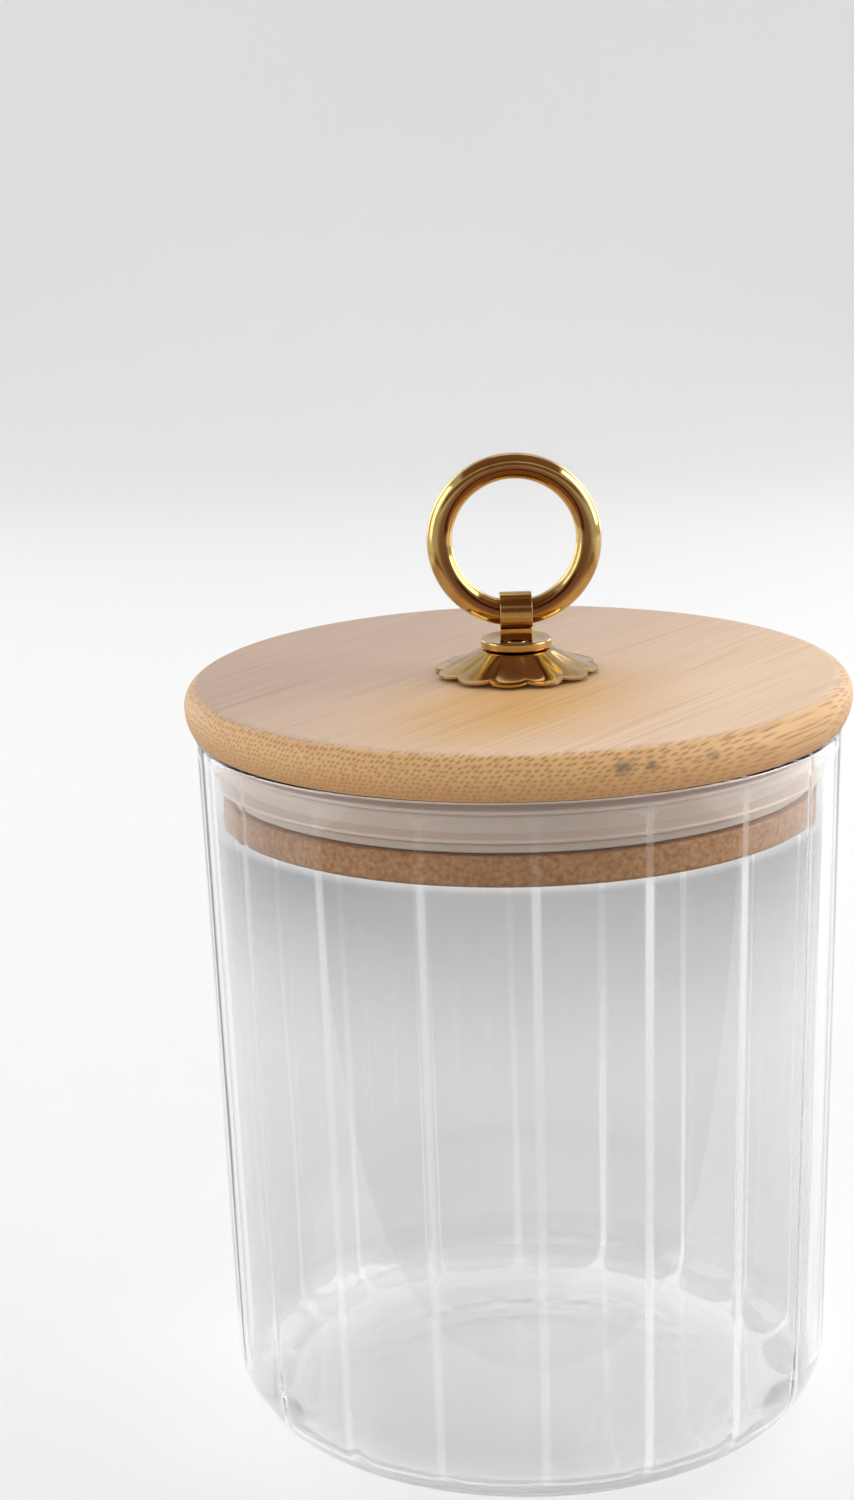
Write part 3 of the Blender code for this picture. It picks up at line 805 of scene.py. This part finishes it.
def seal_ring(made_of):
    inner = GROOVE_RADIUS + SEAL_CLEARANCE
    body = inner + SEAL_BODY
    tip = SEAL_HIGH.x
    bottom, top = SEAL_LOW.z, SEAL_HIGH.z
    spacing = (top - bottom) / SEAL_LIPS
    outline = [(inner, top), (inner, bottom)]
    outline += arc(body - SEAL_ROUND, bottom + SEAL_ROUND, SEAL_ROUND, -90, 0, SEAL_STEPS)
    for i in range(SEAL_LIPS):
        middle = bottom + (i + 0.5) * spacing
        outline.append((body, middle - SEAL_LIP_ROOT / 2))
        outline += arc(tip - SEAL_LIP_TIP / 2, middle, SEAL_LIP_TIP / 2, -90, 90, SEAL_LIP_STEPS)
        outline.append((body, middle + SEAL_LIP_ROOT / 2))
    outline += arc(body - SEAL_ROUND, top - SEAL_ROUND, SEAL_ROUND, 0, 90, SEAL_STEPS)
    return add_piece("lipped_seal", turned(outline), made_of, "seal", "seal_ring")


# Brass pull


def petal_ring(share, drop):
    """A ring of the flower at a share of the way from its crown to its scalloped tips."""
    rise = ROSETTE_HIGH.z - ROSETTE_LOW.z - ROSETTE_SHEET
    reach = ROSETTE_RADIUS - ROSETTE_CROWN_RADIUS
    lip = ROSETTE_LIP * smooth((share - ROSETTE_LIP_START) / (1 - ROSETTE_LIP_START))
    points = []
    for k, angle in enumerate(even_angles(PETAL_COUNT * PETAL_STEPS, ROSETTE_TURN)):
        across = 2 * (k % PETAL_STEPS) / PETAL_STEPS - 1  # -1 at a notch, 0 mid petal
        out = (reach - PETAL_SCALLOP * across**2) * share
        bulge = PETAL_BULGE * math.sin(math.pi * share) * (1 - across**2)
        z = ROSETTE_HIGH.z - rise + rise * (1 - out / reach) ** ROSETTE_FLARE - drop + bulge + lip
        r = ROSETTE_CROWN_RADIUS + out
        points.append((r * math.cos(angle), r * math.sin(angle), z))
    return points


def rosette(made_of):
    """A pressed flower: a flat crown, then a smooth flare cut to scalloped petals with a raised edge."""
    angles = even_angles(PETAL_COUNT * PETAL_STEPS, ROSETTE_TURN)
    shares = steps_between(0.0, 1.0, ROSETTE_ROWS)
    upper = [level_ring(PLATE_HOLE_RADIUS, ROSETTE_HIGH.z, angles)]
    upper += [petal_ring(share, 0.0) for share in shares]
    lower = [petal_ring(share, ROSETTE_SHEET) for share in reversed(shares)]
    lower.append(level_ring(PLATE_HOLE_RADIUS, ROSETTE_HIGH.z - ROSETTE_SHEET, angles))
    bm = skin(upper + lower, joined=True)
    return add_piece("petal_rosette", bm, made_of, "lid", "rosette_plate")


def collar(made_of):
    edge = COLLAR_RADIUS - COLLAR_ROUND
    low, high = COLLAR_LOW.z, COLLAR_HIGH.z
    outline = [(r, high - COLLAR_DISH) for r in (PLATE_HOLE_RADIUS, edge * COLLAR_DISH_REACH)]
    outline += arc(edge, high - COLLAR_ROUND, COLLAR_ROUND, 90, 0, COLLAR_STEPS)
    outline += arc(edge, low + COLLAR_ROUND, COLLAR_ROUND, 0, -90, COLLAR_STEPS)
    outline.append((PLATE_HOLE_RADIUS, low))
    return add_piece("dished_collar", turned(outline, SMALL_SIDES), made_of, "lid", "collar_washer")


def strap_outline(foot):
    """The strap from the side, as (y, z): up the neck, round the bore, and back round the outside."""
    meets_front = 180 + math.degrees(math.acos(NECK_FRONT / EYE_BORE_RADIUS))
    meets_back = 360 - math.degrees(math.acos(NECK_BACK / EYE_OUTER_RADIUS))
    outline = [(-NECK_FRONT, foot)]
    outline += arc(0.0, PIVOT.z, EYE_BORE_RADIUS, meets_front, 360 + CURL_END, STRAP_STEPS)
    outline += arc(0.0, PIVOT.z, EYE_OUTER_RADIUS, 360 + CURL_END, meets_back, STRAP_STEPS)
    return outline + [(NECK_BACK, foot)]


def threaded_stud(top):
    """The stud below the strap, with a groove for each turn of its thread."""
    foot = top + EYE_CLEARANCE
    outline = [(STUD_RADIUS, top)]
    turns = int((foot - EYE_LOW.z) / THREAD_PITCH) - 1
    for i in range(turns):
        level = foot - (i + 1) * THREAD_PITCH
        outline += [(STUD_RADIUS, level), (STUD_RADIUS - THREAD_DEPTH, level - THREAD_PITCH / 2)]
    outline.append((STUD_RADIUS - THREAD_DEPTH, EYE_LOW.z))
    return turned(outline, SMALL_SIDES, joined=False)


def eye_post(made_of):
    """The curled strap and its stud, as one piece with soft edges."""
    dish = COLLAR_HIGH.z - COLLAR_DISH
    outline = strap_outline(dish + EYE_CLEARANCE)
    bm = skin([[(x, y, z) for y, z in outline] for x in (-EYE_HALF_WIDTH, EYE_HALF_WIDTH)])
    stud = threaded_stud(dish)
    stud_mesh = bpy.data.meshes.new("stud")
    stud.to_mesh(stud_mesh)
    stud.free()
    bm.from_mesh(stud_mesh)
    bpy.data.meshes.remove(stud_mesh)
    eye = add_piece("strap_eye", bm, made_of, "lid", "eye_post")
    soften = eye.modifiers.new("soft_edges", "BEVEL")
    soften.width = EYE_EDGE
    soften.segments = EYE_EDGE_STEPS
    soften.limit_method = "ANGLE"
    soften.angle_limit = SHARP_ANGLE
    return eye


def pull_ring(made_of):
    section = arc(0.0, 0.0, RING_BAR_RADIUS, 0, 360 - 360 / BAR_STEPS, BAR_STEPS - 1)
    rings = []
    for turn in even_angles(RING_STEPS):
        out = Vector((math.cos(turn), 0.0, math.sin(turn)))
        rings.append([RING_CENTRE + out * (RING_RADIUS + a) + Vector((0.0, b, 0.0)) for a, b in section])
    return add_piece("round_ring", skin(rings, joined=True), made_of, "ring", "pull_ring")


# Stage, light and camera


def add_to_stage(name, bm, made_of):
    mesh = bpy.data.meshes.new(name)
    bm.to_mesh(mesh)
    bm.free()
    mesh.materials.append(made_of)
    thing = bpy.data.objects.new(name, mesh)
    bpy.context.scene.collection.objects.link(thing)
    return thing


def face(thing, place, target):
    """Put a lamp or card at a place, facing a point."""
    thing.location = place
    thing.rotation_euler = (Vector(target) - Vector(place)).to_track_quat("-Z", "Y").to_euler()


def stage(made_of):
    """A pale floor that curves up into a wall all round."""
    outline = [(STAGE_FLOOR_RADIUS / 2, -STAGE_DROP)]
    outline += arc(STAGE_FLOOR_RADIUS, STAGE_CURVE - STAGE_DROP, STAGE_CURVE, -90, 0, STAGE_CURVE_STEPS)
    outline.append((STAGE_FLOOR_RADIUS + STAGE_CURVE, STAGE_HEIGHT))
    angles = even_angles(STAGE_SIDES)
    bm = bmesh.new()
    loops = [[bm.verts.new(point) for point in level_ring(r, z, angles)] for r, z in outline]
    bm.faces.new(loops[0])
    for inner, outer in zip(loops, loops[1:]):
        for i in range(STAGE_SIDES):
            j = (i + 1) % STAGE_SIDES
            bm.faces.new((outer[i], outer[j], inner[j], inner[i]))
    add_to_stage("pale_stage", bm, made_of).data.shade_smooth()


def area_light(name, place, target, width, height, power):
    lamp = bpy.data.lights.new(name, "AREA")
    lamp.shape = "RECTANGLE"
    lamp.size = width
    lamp.size_y = height
    lamp.energy = power
    light = bpy.data.objects.new(name, lamp)
    face(light, place, target)
    light.visible_camera = False
    bpy.context.scene.collection.objects.link(light)
    return light


def card(name, place, target, width, height, made_of):
    """A dark card that only reflections see: a unit square, scaled."""
    bm = bmesh.new()
    bmesh.ops.create_grid(bm, x_segments=1, y_segments=1, size=0.5)
    sheet = add_to_stage(name, bm, made_of)
    face(sheet, place, target)
    sheet.scale = (width, height, 1.0)
    for kind in HIDDEN_FROM:
        setattr(sheet, "visible_" + kind, False)


def lights():
    world = bpy.data.worlds.new("soft_room")
    bpy.context.scene.world = world
    world.use_nodes = True
    back = world.node_tree.nodes["Background"]
    back.inputs["Color"].default_value = grey(1.0)
    back.inputs["Strength"].default_value = ROOM_STRENGTH
    for lamp in LAMPS:
        area_light(*lamp)
    area_light(*FRONT_FILL).visible_glossy = False
    warm = matt_material("warm_card", CARD_DEEP, CARD_PALE, CARD_CLOUDS)
    for sheet in CARDS:
        card(*sheet, warm)


def camera():
    data = bpy.data.cameras.new("camera")
    data.sensor_fit = "AUTO"
    data.sensor_width = SENSOR_WIDTH
    data.lens = FOCAL_PIXELS / FRAME_LONG_SIDE * SENSOR_WIDTH
    data.clip_start = NEAR_CLIP
    level = Vector((math.cos(CAMERA_YAW), -math.sin(CAMERA_YAW), 0.0))
    ahead = Vector((math.sin(CAMERA_YAW), math.cos(CAMERA_YAW), 0.0))
    upright = Vector((0.0, 0.0, 1.0))
    forward = math.cos(CAMERA_PITCH) * ahead - math.sin(CAMERA_PITCH) * upright
    over = math.sin(CAMERA_PITCH) * ahead + math.cos(CAMERA_PITCH) * upright
    right = math.cos(CAMERA_ROLL) * level + math.sin(CAMERA_ROLL) * over
    top = math.cos(CAMERA_ROLL) * over - math.sin(CAMERA_ROLL) * level
    axes = Matrix((right, top, -forward)).transposed()
    made = bpy.data.objects.new("camera", data)
    orbit = Matrix.Rotation(CAMERA_ORBIT, 4, "Z")
    made.matrix_world = orbit @ Matrix.Translation(CAMERA_PLACE) @ axes.to_4x4()
    bpy.context.scene.collection.objects.link(made)
    bpy.context.scene.camera = made


def main():
    bpy.context.scene.view_settings.view_transform = "Standard"
    brass = metal_material("aged_brass", BRASS_BRIGHT, BRASS_DULL, BRASS_ROUGHNESS, BRASS_PATCHES)
    ring_brass = metal_material(
        "ring_brass", RING_BRIGHT, RING_DULL, BRASS_ROUGHNESS, BRASS_PATCHES, reflection_band=ring_reflection_band
    )
    steel = metal_material("zinc_steel", STEEL_BRIGHT, STEEL_DULL, STEEL_ROUGHNESS, STEEL_PATCHES)
    glass_jar(glass_material())
    bamboo_lid(bamboo_material())
    seal_ring(silicone_material())
    rosette(brass)
    collar(brass)
    eye_post(brass)
    pull_ring(ring_brass)
    for node in ("stud_washer", "stud_nut"):
        frame["nodes"][node].data.materials.clear()
        frame["nodes"][node].data.materials.append(steel)
    stage(matt_material("pale_stage", STAGE_DEEP, STAGE_PALE, STAGE_CLOUDS))
    lights()
    camera()


main()
